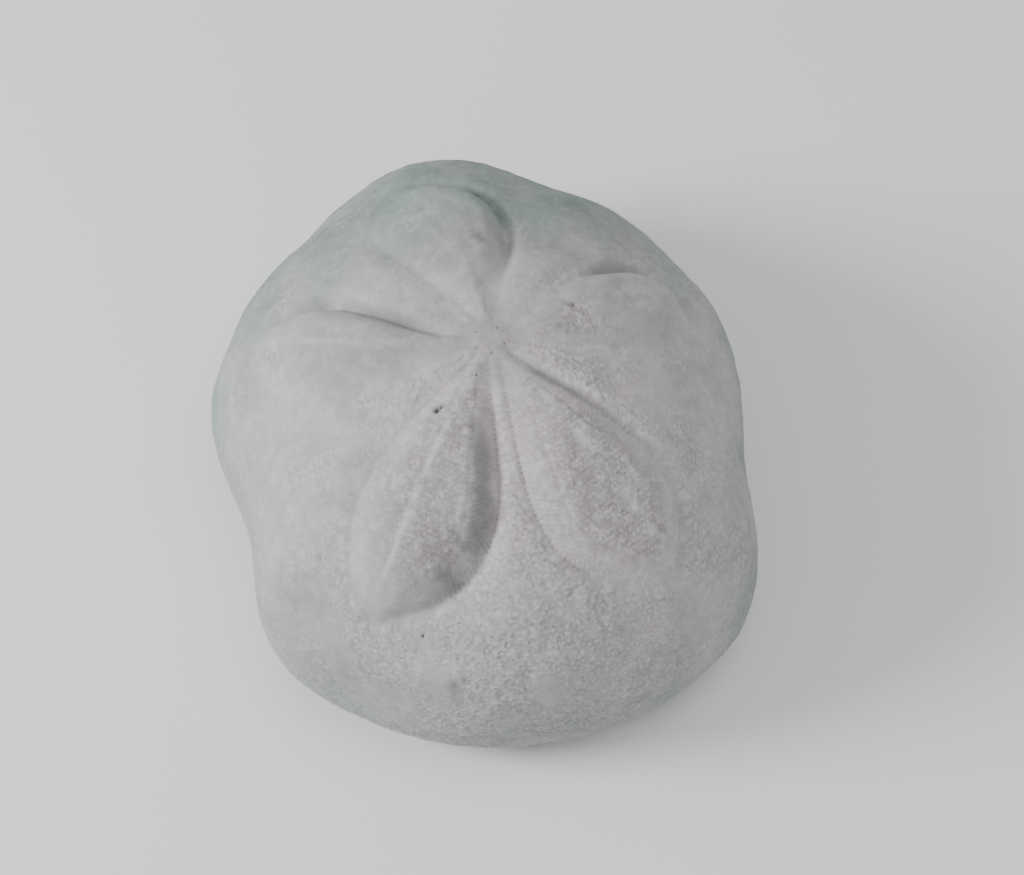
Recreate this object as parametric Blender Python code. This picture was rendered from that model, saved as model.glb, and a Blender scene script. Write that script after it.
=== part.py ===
"""Sea biscuit: the bare, dry test of an inflated sea urchin with five petals, as one solid.

+Z is up, +Y is the front, where the single petal points, and -Y is the rear. The test stands on a
flat ring under its thick margin, and the origin is under the middle of its box. The upper side is
a lobed dome with five swollen petals, each with a furrow round it. The underside is a wide hollow
with five food grooves that meet at the mouth, and the small round vent is under the rear margin.
"""
import bpy
import bmesh
import numpy as np
from mathutils import Vector

MM = 0.001

# driving dimensions of the whole test
HEIGHT = 53.5 * MM
MARGIN_HEIGHT = 15.5 * MM       # height of the widest line
SHOULDER = 2.2                  # roundness of the dome: 2 is an ellipse, more is squarer
APEX = (0.4 * MM, 1.4 * MM)     # where the petals meet, from the middle of the margin
# the five lobes of the margin: bearing from +X, how far the lobe reaches from the middle,
# and how far the hollow reaches that lies half-way to the next lobe
LOBES = {
    "right front": (29.0, 50.0 * MM, 53.0 * MM),
    "front": (97.0, 60.0 * MM, 53.5 * MM),
    "left front": (159.0, 52.0 * MM, 46.0 * MM),
    "left rear": (224.0, 54.5 * MM, 55.0 * MM),
    "right rear": (311.0, 56.5 * MM, 46.5 * MM),
}

# the petals: bearing of the axis from the apex, its bend out to the tip, its length, then for the
# clockwise and the anticlockwise side the half width, the width of the flank that slopes up from
# the furrow, and the depth of the furrow
PETALS = {
    "front": (96.0, 5.0, 42.0 * MM,
              (12.2 * MM, 6.0 * MM, 0.8 * MM), (10.8 * MM, 7.0 * MM, 0.5 * MM)),
    "left front": (180.0, -16.0, 43.5 * MM,
                   (9.0 * MM, 6.0 * MM, 0.9 * MM), (9.8 * MM, 7.5 * MM, 0.2 * MM)),
    "left rear": (238.8, 0.0, 48.5 * MM,
                  (9.4 * MM, 7.5 * MM, 0.2 * MM), (14.2 * MM, 6.5 * MM, 0.8 * MM)),
    "right rear": (302.4, 0.0, 48.5 * MM,
                   (14.6 * MM, 7.5 * MM, 0.3 * MM), (9.2 * MM, 6.0 * MM, 0.9 * MM)),
    "right front": (10.0, 5.0, 38.0 * MM,
                    (11.0 * MM, 7.5 * MM, 0.2 * MM), (9.6 * MM, 6.0 * MM, 0.9 * MM)),
}
PETAL_WIDEST = 0.68             # where a petal is widest, as a share of its length
PETAL_FULLNESS = 0.66           # below 1, the tip is blunter
PETAL_RISE = 2.2 * MM           # how far a petal swells
RISE_START = -0.1               # shares of the length between which it swells to its full rise
RISE_END = 0.6
LEAST_FLANK = 0.5 * MM
OUTLINE_STEPS = 40              # straight lines that stand for the outline of half a petal
SIDE_BLEND = 0.3                # share of the half width over which the two sides blend
FURROW_WIDTH = 2.1 * MM
FURROW_START = 0.08             # shares of the length between which a furrow deepens
FURROW_FULL = 0.3
BRIM_RISE = 0.15 * MM           # low swelling of the test just outside a furrow
BRIM_WIDTH = 2.6 * MM
BRIM_PLACE = 4.2 * MM
# low swellings and one dent, beside the petals: bearing and distance from the apex, radius and rise
SWELLINGS = (
    (53.0, 16.5 * MM, 5.5 * MM, 1.4 * MM),
    (56.0, 31.0 * MM, 8.0 * MM, 0.6 * MM),
    (136.0, 31.0 * MM, 9.0 * MM, 0.8 * MM),
    (270.0, 47.0 * MM, 10.0 * MM, 0.8 * MM),
    (325.0, 18.0 * MM, 3.5 * MM, 0.5 * MM),
    (254.0, 38.0 * MM, 5.6 * MM, -1.8 * MM),
)
PLATE_RADIUS = 3.2 * MM         # the little raised plate at the apex
PLATE_RISE = 0.5 * MM

# the margin's lower side and the flat ring that the test stands on, as shares of the reach
RING_OUTER = 0.84
RING_INNER = 0.74

# the underside
HOLLOW_DEPTH = 16.0 * MM
HOLLOW_POWER = 1.4              # 1 is a straight cone, more is a funnel with a flat rim
MOUTH_RADIUS = 4.8 * MM
MOUTH_DEPTH = 9.0 * MM
# the rings of the mouth's wall: how wide and how deep each is, as shares
MOUTH_RINGS = ((0.97, 0.35), (0.8, 0.85), (0.4, 1.0))
GROOVE_DEPTH = 1.1 * MM
GROOVE_WIDTH = 1.8 * MM
GROOVE_FADE = 0.25              # share of the hollow's slope over which a groove dies away
VENT_BEARING = 270.0
VENT_TURN = 148.0               # place on the margin's lower side: 90 is the widest line, 180 the ring
VENT_RADIUS = 2.3 * MM
VENT_DEPTH = 3.0 * MM
VENT_SIDES = 16

# how finely the surface is divided
SECTORS = 112
UPPER_RINGS = 32
FLANK_RINGS = 4
HOLLOW_RINGS = 7
CROWDING = 0.05                 # how far the rings crowd together round the petals' tips
COARSE_RADIUS = 4.5 * MM        # nearer the middle than this, a ring has a quarter of the sectors
MIDDLE_RADIUS = 11.0 * MM       # nearer than this, half
MEAN_REACH = 53.5 * MM          # of the margin, to judge how near the middle a ring lies

SHARP_ANGLE = 50.0

CHALK = (0.56, 0.55, 0.52, 1.0)


def margin_reach(bearing):
    """Distance from the middle to the widest line, for bearings in radians."""
    lobes = list(LOBES.values())
    first = lobes[0][0]
    turns = []
    reaches = []
    for (angle, reach, hollow), (following, _, _) in zip(lobes, lobes[1:] + lobes[:1]):
        half_gap = ((following - angle) % 360) / 2
        turns += [angle - first, angle - first + half_gap]
        reaches += [reach, hollow]
    turns.append(360.0)
    reaches = np.array(reaches + reaches[:2])
    place = np.interp((np.degrees(bearing) - first) % 360, turns, np.arange(len(turns)))
    start = np.floor(place).astype(int)
    ease = (1 - np.cos(np.pi * (place - start))) / 2
    return reaches[start] + (reaches[start + 1] - reaches[start]) * ease


def plain_skin(bearing, turn):
    """The test without relief: turn is 0 at the apex, pi/2 at the widest line, pi at the ring."""
    upper = turn <= np.pi / 2
    upper_share = np.sin(np.minimum(turn, np.pi / 2)) ** (2 / SHOULDER)
    lower_share = RING_OUTER + (1 - RING_OUTER) * np.sin(np.maximum(turn, np.pi / 2))
    share = np.where(upper, upper_share, lower_share)
    reach = margin_reach(bearing) * share
    lean = np.where(upper, 1 - upper_share, 0.0)
    x = reach * np.cos(bearing) + APEX[0] * lean
    y = reach * np.sin(bearing) + APEX[1] * lean
    dome = np.cos(np.minimum(turn, np.pi / 2)) ** (2 / SHOULDER)
    upper_z = MARGIN_HEIGHT + (HEIGHT - MARGIN_HEIGHT) * dome
    lower_z = MARGIN_HEIGHT * (1 + np.cos(np.maximum(turn, np.pi / 2)))
    return np.stack([x, y, np.where(upper, upper_z, lower_z)], axis=-1)


def outward(bearing, turn):
    """Unit normals of the plain skin."""
    step = 1e-4
    around = plain_skin(bearing + step, turn) - plain_skin(bearing - step, turn)
    down = plain_skin(bearing, turn + step) - plain_skin(bearing, np.abs(turn - step))
    normal = np.cross(down, around)
    return normal / np.linalg.norm(normal, axis=-1, keepdims=True)


def petal_half_width(along):
    """Half width of a petal, as a share of its widest, at a share of its length."""
    power = np.log(0.5) / np.log(PETAL_WIDEST)
    return np.sin(np.pi * np.clip(along, 0, 1) ** power) ** PETAL_FULLNESS


def in_petal(x, y, axis, bend, length, clockwise, other):
    """Where each point of the plan lies in a petal.

    Gives the depth inside the petal's outline (below 0 outside), the place along the axis and the
    place across it, both as shares; across is above 0 on the anticlockwise side.
    """
    distance = np.hypot(x - APEX[0], y - APEX[1])
    aside = np.arctan2(y - APEX[1], x - APEX[0]) - np.radians(axis + bend * distance / length)
    along = distance * np.cos(aside)
    across = distance * np.sin(aside)
    steps = np.linspace(0, 1, OUTLINE_STEPS + 1)
    nearest = np.full(x.shape, np.inf)
    for width in (-clockwise[0], other[0]):
        edge = np.stack([steps * length, petal_half_width(steps) * width], axis=-1)
        for start, end in zip(edge[:-1], edge[1:]):
            run = end - start
            share = ((along - start[0]) * run[0] + (across - start[1]) * run[1]) / (run @ run)
            share = np.clip(share, 0, 1)
            gap = np.hypot(along - start[0] - share * run[0], across - start[1] - share * run[1])
            nearest = np.minimum(nearest, gap)
    half_width = np.where(across < 0, clockwise[0], other[0])
    inside = np.abs(across) < petal_half_width(along / length) * half_width
    return np.where(inside, nearest, -nearest), np.clip(along / length, 0, 1), across / half_width


def smooth_step(low, high, value):
    share = np.clip((value - low) / (high - low), 0, 1)
    return share * share * (3 - 2 * share)


def relief(x, y):
    """How far the upper side stands out from the plain skin, over each point of the plan."""
    height = np.zeros(x.shape)
    for axis, bend, length, clockwise, other in PETALS.values():
        depth, along, across = in_petal(x, y, axis, bend, length, clockwise, other)
        side = smooth_step(-SIDE_BLEND, SIDE_BLEND, across)
        half_width, flank, furrow = [low + (high - low) * side
                                     for low, high in zip(clockwise, other)]
        flank = np.clip(petal_half_width(along) * half_width, LEAST_FLANK, flank)
        rise = PETAL_RISE * smooth_step(RISE_START, RISE_END, along)
        height += rise * smooth_step(0, flank, depth)
        fade = smooth_step(FURROW_START, FURROW_FULL, along)
        height -= furrow * np.exp(-(depth / FURROW_WIDTH) ** 2) * fade
        height += BRIM_RISE * np.exp(-((depth + BRIM_PLACE) / BRIM_WIDTH) ** 2) * fade
    for bearing, distance, radius, rise in SWELLINGS:
        centre_x = APEX[0] + distance * np.cos(np.radians(bearing))
        centre_y = APEX[1] + distance * np.sin(np.radians(bearing))
        height += rise * np.exp(-((x - centre_x) ** 2 + (y - centre_y) ** 2) / radius ** 2)
    from_apex = np.hypot(x - APEX[0], y - APEX[1])
    height += PLATE_RISE * np.exp(-(from_apex / PLATE_RADIUS) ** 4)
    return height


def skin(bearing, turn):
    """The finished surface from the apex to the outer edge of the ring."""
    points = plain_skin(bearing, turn)
    out = relief(points[..., 0], points[..., 1]) * (turn < np.pi / 2)
    return points + outward(bearing, turn) * out[..., None]


def grooves(x, y, share):
    """Depth of the five straight food grooves, which run out from the mouth under the petals."""
    depth = np.zeros(x.shape)
    for axis, *_ in PETALS.values():
        direction = np.radians(axis)
        across = -x * np.sin(direction) + y * np.cos(direction)
        ahead = x * np.cos(direction) + y * np.sin(direction) > 0
        depth = np.maximum(depth, ahead * np.exp(-(across / GROOVE_WIDTH) ** 2))
    return GROOVE_DEPTH * depth * smooth_step(0.0, GROOVE_FADE, 1 - share)


def hollow(bearing, share):
    """The underside's hollow: share is 0 at the mouth's edge and 1 at the ring's inner edge."""
    rim = margin_reach(bearing) * RING_INNER
    radius = MOUTH_RADIUS + (rim - MOUTH_RADIUS) * share
    x = radius * np.cos(bearing)
    y = radius * np.sin(bearing)
    z = HOLLOW_DEPTH * (1 - share) ** HOLLOW_POWER + grooves(x, y, share)
    return np.stack([x, y, z], axis=-1)


def sectors_at(radius):
    """A ring near the middle is divided into fewer sectors."""
    if radius < COARSE_RADIUS:
        return SECTORS // 4
    if radius < MIDDLE_RADIUS:
        return SECTORS // 2
    return SECTORS


def bearings(count):
    return np.arange(count) * 2 * np.pi / count


def upper_rings():
    """Rings of points from just outside the apex down to the outer edge of the flat ring."""
    rings = []
    for step in range(1, UPPER_RINGS + 1):
        share = step / UPPER_RINGS
        turn = np.pi / 2 * (share + CROWDING * np.sin(2 * np.pi * share))
        radius = np.sin(turn) ** (2 / SHOULDER) * MEAN_REACH
        around = bearings(sectors_at(radius))
        rings.append(skin(around, np.full(around.shape, turn)))
    for step in range(1, FLANK_RINGS + 1):
        around = bearings(SECTORS)
        turn = np.pi / 2 * (1 + step / FLANK_RINGS)
        rings.append(skin(around, np.full(around.shape, turn)))
    return rings


def under_rings():
    """Rings of points from the inner edge of the flat ring up through the hollow to the mouth."""
    rings = []
    for step in range(HOLLOW_RINGS, -1, -1):
        share = step / HOLLOW_RINGS
        radius = MOUTH_RADIUS + (MEAN_REACH * RING_INNER - MOUTH_RADIUS) * share
        around = bearings(sectors_at(radius))
        rings.append(hollow(around, np.full(around.shape, share)))
    for narrowing, depth in MOUTH_RINGS:
        around = bearings(SECTORS // 4)
        mouth = np.stack([MOUTH_RADIUS * narrowing * np.cos(around),
                          MOUTH_RADIUS * narrowing * np.sin(around),
                          np.full(around.shape, HOLLOW_DEPTH + MOUTH_DEPTH * depth)], axis=-1)
        rings.append(mouth)
    return rings


def bridge(mesh, ring, following):
    """Faces between two rings: of equal count, or one with twice as many points."""
    if len(ring) == len(following):
        for i in range(len(ring)):
            j = (i + 1) % len(ring)
            mesh.faces.new((ring[i], following[i], following[j], ring[j]))
        return
    coarse, fine, flip = (ring, following, False)
    if len(coarse) > len(fine):
        coarse, fine, flip = (following, ring, True)
    for i, vertex in enumerate(coarse):
        j = (i + 1) % len(coarse)
        start = fine[2 * i]
        middle = fine[2 * i + 1]
        end = fine[(2 * i + 2) % len(fine)]
        for corners in ((vertex, start, middle), (vertex, middle, coarse[j]),
                        (coarse[j], middle, end)):
            mesh.faces.new(corners[::-1] if flip else corners)


def close(mesh, ring, point, flip):
    """A fan of triangles from a ring to the one point in its middle."""
    centre = mesh.verts.new(point)
    for i in range(len(ring)):
        corners = (ring[i], ring[(i + 1) % len(ring)], centre)
        mesh.faces.new(corners[::-1] if flip else corners)


def chalk_material():
    material = bpy.data.materials.new("chalk")
    material.use_nodes = True
    shader = material.node_tree.nodes["Principled BSDF"]
    shader.inputs["Base Color"].default_value = CHALK
    shader.inputs["Roughness"].default_value = 0.9
    shader.inputs["Metallic"].default_value = 0.0
    return material


def cut_vent(test):
    """A short round hole with a flat end, square to the margin's lower side."""
    bearing = np.array([np.radians(VENT_BEARING)])
    turn = np.array([np.radians(VENT_TURN)])
    direction = Vector(outward(bearing, turn)[0])
    cutter_mesh = bmesh.new()
    bmesh.ops.create_cone(cutter_mesh, cap_ends=True, segments=VENT_SIDES, radius1=VENT_RADIUS,
                          radius2=VENT_RADIUS, depth=2 * VENT_DEPTH)
    data = bpy.data.meshes.new("vent cutter")
    cutter_mesh.to_mesh(data)
    cutter_mesh.free()
    cutter = bpy.data.objects.new("vent cutter", data)
    cutter.location = Vector(plain_skin(bearing, turn)[0]) + test.location
    cutter.rotation_euler = direction.to_track_quat("Z", "Y").to_euler()
    cutter.hide_render = True
    cutter.display_type = "WIRE"
    bpy.context.scene.collection.objects.link(cutter)
    cut = test.modifiers.new("vent", "BOOLEAN")
    cut.operation = "DIFFERENCE"
    cut.object = cutter


def make_test():
    """The whole test: upper side, margin, flat ring, hollow and mouth, joined ring by ring."""
    mesh = bmesh.new()
    rings = []
    for points in upper_rings() + under_rings():
        rings.append([mesh.verts.new(point) for point in points])
    for ring, following in zip(rings[:-1], rings[1:]):
        bridge(mesh, ring, following)
    apex = (APEX[0], APEX[1], HEIGHT + PLATE_RISE)
    close(mesh, rings[0], apex, False)
    close(mesh, rings[-1], (0.0, 0.0, HOLLOW_DEPTH + MOUTH_DEPTH), True)
    bmesh.ops.triangulate(mesh, faces=mesh.faces[:])
    data = bpy.data.meshes.new("test")
    mesh.to_mesh(data)
    mesh.free()
    points = np.array([vertex.co for vertex in data.vertices])
    middle = (points.min(axis=0) + points.max(axis=0)) / 2
    data.shade_smooth()
    data.set_sharp_from_angle(angle=np.radians(SHARP_ANGLE))
    data.materials.append(chalk_material())
    test = bpy.data.objects.new("test", data)
    test.location = (-middle[0], -middle[1], 0.0)
    bpy.context.scene.collection.objects.link(test)
    cut_vent(test)
    return test


def main():
    for item in list(bpy.data.objects):
        bpy.data.objects.remove(item, do_unlink=True)
    make_test()


main()
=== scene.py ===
"""The sea biscuit's looks: its finely granular chalky surface, a pale floor and soft light.

The fine surface is one closed mesh in place of the CAD solid, and follows the same form: a lobed
dome with five swollen petals over a hollow underside. Its points are laid out as the living test
grows them: a tubercle about every millimetre, and pores in paired rows along the petals.
Lengths are in metres, +Z is up, +Y is the front and -Y the rear.
"""
from collections import namedtuple

import bpy
import numpy as np
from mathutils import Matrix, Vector
from mathutils.geometry import delaunay_2d_cdt


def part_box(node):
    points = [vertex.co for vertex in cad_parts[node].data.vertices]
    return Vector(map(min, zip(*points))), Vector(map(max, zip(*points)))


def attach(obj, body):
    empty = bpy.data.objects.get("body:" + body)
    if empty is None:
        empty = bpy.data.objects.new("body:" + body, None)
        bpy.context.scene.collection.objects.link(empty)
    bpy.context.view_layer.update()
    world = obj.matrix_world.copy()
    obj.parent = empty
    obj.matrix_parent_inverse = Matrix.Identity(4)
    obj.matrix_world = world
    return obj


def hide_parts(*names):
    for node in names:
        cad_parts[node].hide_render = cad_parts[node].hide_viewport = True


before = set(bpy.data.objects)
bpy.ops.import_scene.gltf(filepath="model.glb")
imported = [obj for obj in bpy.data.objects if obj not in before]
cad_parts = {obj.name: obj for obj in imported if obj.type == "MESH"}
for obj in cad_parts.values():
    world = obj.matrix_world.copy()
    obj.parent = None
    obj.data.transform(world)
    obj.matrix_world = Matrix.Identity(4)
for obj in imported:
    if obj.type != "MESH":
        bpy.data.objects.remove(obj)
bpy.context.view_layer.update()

MM = 0.001
NODE = "test"
BODY = "root"

# the form. The dome, the ring and the underside have the solid's values. Some of the petals' and the
# swellings' values, and those of the furrows and brims, are this surface's own: it is fine enough for
# narrower and deeper furrows, and follows the real test more closely
HEIGHT = 53.5 * MM
MARGIN_HEIGHT = 15.5 * MM       # height of the widest line
SHOULDER = 2.2                  # roundness of the dome: 2 is an ellipse, more is squarer
APEX = (0.4 * MM, 1.4 * MM)     # where the petals meet, from the middle of the margin
# each lobe of the margin: its bearing, its reach, and the reach half-way to the next lobe
LOBES = {
    "right front": (29.0, 50.0 * MM, 53.0 * MM),
    "front": (97.0, 60.0 * MM, 53.5 * MM),
    "left front": (159.0, 52.0 * MM, 46.0 * MM),
    "left rear": (224.0, 54.5 * MM, 55.0 * MM),
    "right rear": (311.0, 56.5 * MM, 46.5 * MM),
}

# one side of a petal: its half width, the width of the flank that slopes up from the furrow, and the
# depth of the furrow, with the shares of the petal's length between which the furrow runs
Side = namedtuple("Side", "half_width flank furrow start end")
# a petal: bearing of the axis from the apex, its bend out to the tip, its length, its clockwise and
# its other side, and the share of the length at which it has its full rise
Petal = namedtuple("Petal", "axis bend length clockwise other full_rise")
PETALS = {
    "front": Petal(94.0, 12.0, 42.0 * MM,
                   Side(11.8 * MM, 4.5 * MM, 1.4 * MM, 0.25, 1.08),
                   Side(10.8 * MM, 9.5 * MM, 0.2 * MM, 0.1, 0.8), 0.6),
    "left front": Petal(180.0, -16.0, 43.5 * MM,
                        Side(9.0 * MM, 4.5 * MM, 1.7 * MM, 0.1, 1.0),
                        Side(9.8 * MM, 8.5 * MM, 0.1 * MM, 0.1, 1.2), 0.6),
    "left rear": Petal(238.8, 0.0, 48.5 * MM,
                       Side(9.4 * MM, 7.5 * MM, 0.2 * MM, 0.1, 1.2),
                       Side(14.2 * MM, 4.6 * MM, 1.0 * MM, 0.1, 1.2), 0.6),
    "right rear": Petal(302.4, 0.0, 48.5 * MM,
                        Side(14.6 * MM, 7.5 * MM, 0.3 * MM, 0.1, 1.2),
                        Side(9.2 * MM, 5.5 * MM, 1.0 * MM, 0.05, 1.2), 0.6),
    "right front": Petal(10.0, 5.0, 38.0 * MM,
                         Side(11.0 * MM, 8.5 * MM, 0.1 * MM, 0.1, 1.2),
                         Side(9.6 * MM, 3.6 * MM, 1.6 * MM, 0.5, 1.2), 1.0),
}
PETAL_WIDEST = 0.68             # where a petal is widest, as a share of its length
PETAL_FULLNESS = 0.66           # below 1, the tip is blunter
PETAL_RISE = 2.2 * MM           # how far a petal swells
RISE_RAMP = 0.7                 # share of the length over which it swells
LEAST_FLANK = 0.5 * MM
OUTLINE_POINTS = 41             # on the outline of half a petal
SIDE_BLEND = 0.3                # share of the half width over which the two sides blend
FURROW_RAMP = 0.22              # share of the length over which a furrow deepens or dies away
FURROW_WIDTH = 1.15 * MM
BRIM_RISE = 0.15 * MM           # low swelling of the test just outside a furrow
BRIM_WIDTH = 1.7 * MM
BRIM_PLACE = 2.8 * MM
# low swellings and dents beside the petals: bearing and distance from the apex, radius and rise
SWELLINGS = (
    (53.0, 16.5 * MM, 5.5 * MM, 1.1 * MM),
    (60.0, 10.5 * MM, 2.4 * MM, 0.5 * MM),
    (106.0, 36.0 * MM, 7.0 * MM, -0.6 * MM),
    (62.0, 24.5 * MM, 2.6 * MM, -0.5 * MM),
    (54.0, 26.0 * MM, 2.6 * MM, -0.6 * MM),
    (46.0, 26.5 * MM, 2.6 * MM, -0.6 * MM),
    (56.0, 31.0 * MM, 8.0 * MM, 0.6 * MM),
    (136.0, 31.0 * MM, 9.0 * MM, 0.8 * MM),
    (270.0, 47.0 * MM, 10.0 * MM, 0.8 * MM),
    (325.0, 18.0 * MM, 3.5 * MM, 0.5 * MM),
    (254.5, 37.5 * MM, 5.0 * MM, -2.8 * MM),
)
PLATE_RADIUS = 3.2 * MM         # the little raised plate at the apex
PLATE_RISE = 0.5 * MM
# the flat ring that the test stands on, as shares of the margin's reach
RING_OUTER = 0.84
RING_INNER = 0.74
HOLLOW_DEPTH = 16.0 * MM
HOLLOW_POWER = 1.4              # 1 is a straight cone, more is a funnel with a flat rim
MOUTH_RADIUS = 4.8 * MM
MOUTH_DEPTH = 9.0 * MM
# the mouth's wall: how deep it is, how wide it still is there, as shares
MOUTH_PROFILE = ((0.0, 1.0), (0.35, 0.97), (0.85, 0.8), (1.0, 0.4), (1.0, 0.02))
GROOVE_DEPTH = 1.1 * MM
GROOVE_WIDTH = 1.8 * MM
GROOVE_FADE = 0.25              # share of the hollow's slope over which a groove dies away
VENT_BEARING = np.radians(270.0)
VENT_TURN = np.radians(148.0)   # place on the margin's lower side: 90 is the widest line, 180 the ring
VENT_RADIUS = 2.3 * MM
VENT_DEPTH = 3.0 * MM
# the rings of points of the vent: radius and depth as shares, and the number of points
VENT_RINGS = ((0.01, 1.0, 8), (0.45, 0.98, 8), (0.85, 0.9, 24), (0.95, 0.55, 24), (1.03, 0.12, 24),
              (1.15, 0.0, 24), (1.4, 0.0, 24))
VENT_CLEARANCE = 1.6            # radii from the vent's middle that are kept free of tubercles

# the way along a meridian, in radians or the like: the apex is 0, then come these places
WIDEST = np.pi / 2
RING_EDGE = np.pi
UNDERSIDE = RING_EDGE - 0.5     # from here on the tubercles are the larger ones of the underside
SMOOTH_BASE = RING_EDGE - 0.4   # from here on the surface is no longer uneven
HOLLOW_EDGE = RING_EDGE + 0.3
MOUTH_EDGE = HOLLOW_EDGE + 1.0
PIT_END = MOUTH_EDGE + 0.8
RING_SPARE = 0.02               # how far past both its edges the flat ring is kept without relief
MERIDIAN_START = 0.002          # the first place of the table that measures the meridian
UPPER_STEPS = 1200
LOWER_STEPS = 900
MEAN_OVER = 24                  # number of meridians that the table is the mean of
LEAST_RADIUS = 0.05 * MM

# the fine detail
SEED = 11
GOLDEN_TURN = np.pi * (3 - 5 ** 0.5)
TUBERCLE_PITCH = 0.96 * MM      # on the upper side
LOWER_PITCH = 1.75 * MM         # on the underside
TUBERCLE_RISE = 0.20 * MM
LOWER_RISE = 0.26 * MM
VALLEY_DEPTH = 0.10 * MM        # of the low places between the tubercles
MOST_VIGOUR = 1.5               # each tubercle and each low place has a vigour from 0 to this
PETAL_CALM = 0.35               # share of its vigour that the grain loses in the petals
EVEN_RISE = 0.4                 # share of the rise that every tubercle has
VARIED_RISE = 0.7               # share of the rise that it has for each unit of its vigour
VALLEY_LEVEL = 0.3              # the vigour at which a low place is level with the surface
# how uneven the upper side is: length of the waves and their height
UNEVENNESS = ((16.0 * MM, 0.12 * MM), (6.0 * MM, 0.05 * MM), (2.6 * MM, 0.03 * MM))
ROW_PITCH = 0.80 * MM           # between the rows of tubercles across the middle of a petal
ROW_SPACING = 0.72 * MM         # between the tubercles of one row
ROW_SPARE = 0.8                 # share of the spacing by which a row ends short of the pores
ROW_STAGGER = 0.25              # share of the spacing by which every other row is moved
SCATTER = 0.28                  # share of the pitch by which a tubercle may stray
ROW_SCATTER = SCATTER / 3       # the same, out of its row
PETAL_SPARE = 0.35 * TUBERCLE_PITCH
HOLE_SPARE = 0.3 * TUBERCLE_PITCH
PORE_PITCH = 0.88 * MM
PORE_BAND = 4.9 * MM            # width of a petal's band of pores at its widest
BAND_REACH = (0.07, 0.995)      # shares of the length between which a band runs
BAND_OPENING = (-0.15, 0.55)    # shares between which it widens to its full width
BAND_CLOSING = (1.25, 0.8)      # shares between which it narrows again, from its end back
BAND_POINTS = 80
BAND_START = 0.06               # nearer the apex than this share, tubercles lie as outside the petals
MIDDLE_SPARE = 0.45 * MM        # how far a band keeps from the middle line of its petal
PORE_DEPTH = 0.28 * MM          # of the outer pore of a pair
INNER_PORE_DEPTH = 0.16 * MM
SLIT_DEPTH = 0.07 * MM          # the shallow slit that joins a pair of pores
PORE_LIP = 0.42 * MM
SLIT_STEP = 0.72 * MM           # between the points of a slit, and the tubercles of the ridges
RIDGE_RISE = 0.4                # how far those tubercles stand out, as a share of the others
LEAST_OPEN = 0.5                # share of its depth that a pore keeps at least, before the sediment
SUTURE_WIDTH = 0.6 * MM         # half width of the white line down the middle of a petal
SUTURE_START = (0.1, 0.3)       # shares of the length over which the line appears
SUTURE_END = (1.0, 0.85)        # shares over which it fades, from its end back
SUTURE_BREAKS = (4.0 * MM, -1.1, 0.7)       # waves that break the line, and the range of them
# waves that break up the painted shade in the furrows and on the flanks, and the range of them
SHADE_BREAKS = (7.0 * MM, -1.6, 0.2)
PETAL_EDGE = (1.0 * MM, 5.0 * MM)           # depths between which a petal's own colour sets in
# painted shade in the furrows and painted shadow on a flank: the petal, the way out to that side (-1
# is clockwise), the shares of the length between which it lies, how far inside the outline, half width
# and strength
FURROW_SHADE = (
    ("front", -1, 0.5, 1.05, 0.3 * MM, 1.3 * MM, 0.50),
    ("left front", -1, 0.1, 0.9, 0.3 * MM, 1.5 * MM, 0.50),
    # painted shade on the upper flank of the left front petal
    ("left front", -1, 0.1, 0.9, 3.8 * MM, 2.4 * MM, 0.14),
    # painted shadow on the steep flank of the left rear petal
    ("left rear", 1, 0.2, 0.98, 2.4 * MM, 2.3 * MM, 0.55),
    ("right rear", 1, 0.0, 0.55, 0.3 * MM, 1.0 * MM, 0.50),
    ("right front", 1, 0.48, 0.95, 0.2 * MM, 1.0 * MM, 0.55),
)
# how clearly the white line down the middle shows on each petal
SUTURES = {"front": 0.1, "left front": 0.5, "left rear": 1.0, "right rear": 0.9,
           "right front": 0.15}
# dark marks on the upper side, from small dark specks of dirt to wide faint patches of painted shade:
# place in the plan, radius and strength
STAINS_AND_SHADE = (
    (-10.1 * MM, -10.6 * MM, 0.7 * MM, 0.85),
    (-9.3 * MM, -10.2 * MM, 0.5 * MM, 0.6),
    (-11.6 * MM, -12.4 * MM, 0.8 * MM, 0.30),
    (0.2 * MM, 24.2 * MM, 0.9 * MM, 0.35),
    (0.9 * MM, 23.0 * MM, 0.9 * MM, 0.50),
    (1.6 * MM, 21.8 * MM, 0.8 * MM, 0.45),
    (-0.5 * MM, 20.3 * MM, 1.0 * MM, 0.25),
    (13.8 * MM, 7.9 * MM, 0.45 * MM, 0.8),
    (14.6 * MM, 7.5 * MM, 0.45 * MM, 0.9),
    (15.4 * MM, 7.2 * MM, 0.45 * MM, 0.8),
    # wide faint patches of painted shade over the apex, the front left, the left rear, the front and
    # the right front
    (0.4 * MM, 1.0 * MM, 8.5 * MM, 0.20),
    (-22.0 * MM, 40.0 * MM, 13.0 * MM, 0.10),
    (-31.0 * MM, -40.0 * MM, 13.0 * MM, 0.09),
    (-1.0 * MM, 24.0 * MM, 12.0 * MM, 0.11),
    (22.0 * MM, 28.0 * MM, 13.0 * MM, 0.10),
    (-1.0 * MM, 43.0 * MM, 12.0 * MM, 0.14),
    # dark specks and small patches of dirt
    (-12.4 * MM, -50.9 * MM, 1.1 * MM, 0.4),
    (-10.9 * MM, -50.4 * MM, 0.7 * MM, 0.3),
    (-32.1 * MM, -29.0 * MM, 0.8 * MM, 0.25),
    (-24.4 * MM, -15.2 * MM, 2.4 * MM, 0.12),
    (12.5 * MM, 2.5 * MM, 2.0 * MM, 0.14),
    (11.5 * MM, -1.8 * MM, 2.6 * MM, 0.10),
    (-16.7 * MM, -43.9 * MM, 0.35 * MM, 0.35),
    # painted shadow on the steep flank of the left rear petal
    (-8.6 * MM, -32.5 * MM, 2.6 * MM, 0.20),
    (-10.2 * MM, -36.8 * MM, 2.8 * MM, 0.20),
    (-14.0 * MM, -39.6 * MM, 2.4 * MM, 0.12),
)
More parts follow.
